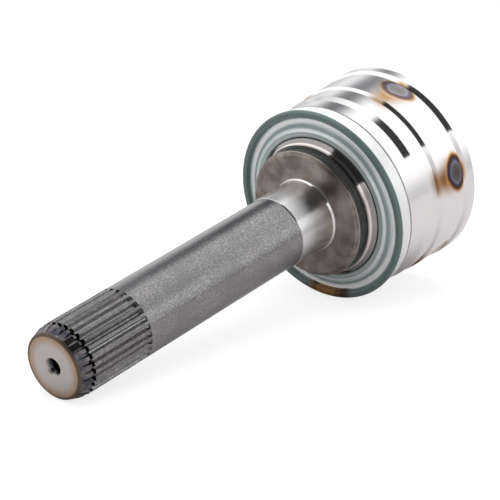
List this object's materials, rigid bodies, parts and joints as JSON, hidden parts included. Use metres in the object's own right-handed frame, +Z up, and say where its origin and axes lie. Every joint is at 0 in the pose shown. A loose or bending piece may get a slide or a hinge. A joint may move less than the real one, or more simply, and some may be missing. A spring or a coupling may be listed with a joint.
{
  "type": "constant velocity joint",
  "caption": "Ball-type constant velocity joint with a splined stub stem, polished bell, pressed dust shield, cage, balls and splined inner race.",
  "frame": {"origin": "joint centre, the point on the axis about which the joint bends, 189.5 mm from the stem's end face", "axes": "+X along the joint's axis from the stem towards the bell's open mouth; +Z up and perpendicular to it, the axis the modelled articulation turns about; +Y completes the right-handed frame"},
  "size_m": [0.204, 0.084, 0.084],
  "materials": {
    "forged_steel": "ground and polished bell, dull dark stem",
    "zinc_plate": "blue-green zinc plating, satin",
    "race_steel": "ground",
    "cage_steel": "dark, phosphated",
    "ball_steel": "polished",
    "spring_steel": "dark"
  },
  "bodies": {
    "outer_race": {"outer_race": "forged_steel", "dust_shield": "zinc_plate"},
    "inner_race": {"inner_race": "race_steel", "axle_circlip": "spring_steel"},
    "ball_cage": {"ball_cage": "cage_steel"},
    "ball_1": {"ball_1": "ball_steel"},
    "ball_2": {"ball_2": "ball_steel"},
    "ball_3": {"ball_3": "ball_steel"},
    "ball_4": {"ball_4": "ball_steel"},
    "ball_5": {"ball_5": "ball_steel"},
    "ball_6": {"ball_6": "ball_steel"}
  },
  "joints": [
    {"name": "articulation", "type": "hinge", "parent": "outer_race", "child": "inner_race", "pos_m": [0, 0, 0], "axis": [0, 0, 1], "range_deg": [-40, 40]},
    {"name": "cage_tilt", "type": "hinge", "parent": "outer_race", "child": "ball_cage", "pos_m": [0, 0, 0], "axis": [0, 0, 1], "range_deg": [-20, 20]},
    {"name": "ball_1_travel", "type": "hinge", "parent": "outer_race", "child": "ball_1", "pos_m": [0.0035, 0, 0], "axis": [0, 0.9354, 0.3535], "range_deg": [-7.3, 7.3]},
    {"name": "ball_2_travel", "type": "hinge", "parent": "outer_race", "child": "ball_2", "pos_m": [0.0035, 0, 0], "axis": [0, 0.1616, 0.9869], "range_deg": [-19.8, 19.8]},
    {"name": "ball_3_travel", "type": "hinge", "parent": "outer_race", "child": "ball_3", "pos_m": [0.0035, 0, 0], "axis": [0, -0.7738, 0.6334], "range_deg": [-13, 13]},
    {"name": "ball_4_travel", "type": "hinge", "parent": "outer_race", "child": "ball_4", "pos_m": [0.0035, 0, 0], "axis": [0, -0.9354, -0.3535], "range_deg": [-7.3, 7.3]},
    {"name": "ball_5_travel", "type": "hinge", "parent": "outer_race", "child": "ball_5", "pos_m": [0.0035, 0, 0], "axis": [0, -0.1616, -0.9869], "range_deg": [-19.8, 19.8]},
    {"name": "ball_6_travel", "type": "hinge", "parent": "outer_race", "child": "ball_6", "pos_m": [0.0035, 0, 0], "axis": [0, 0.7738, -0.6334], "range_deg": [-13, 13]}
  ],
  "couplings": [
    {"joint": "cage_tilt", "follows": "articulation", "ratio": 0.5},
    {"joint": "ball_1_travel", "follows": "articulation", "ratio": 0.1823},
    {"joint": "ball_2_travel", "follows": "articulation", "ratio": 0.494},
    {"joint": "ball_3_travel", "follows": "articulation", "ratio": 0.3243},
    {"joint": "ball_4_travel", "follows": "articulation", "ratio": -0.1823},
    {"joint": "ball_5_travel", "follows": "articulation", "ratio": -0.494},
    {"joint": "ball_6_travel", "follows": "articulation", "ratio": -0.3243}
  ]
}
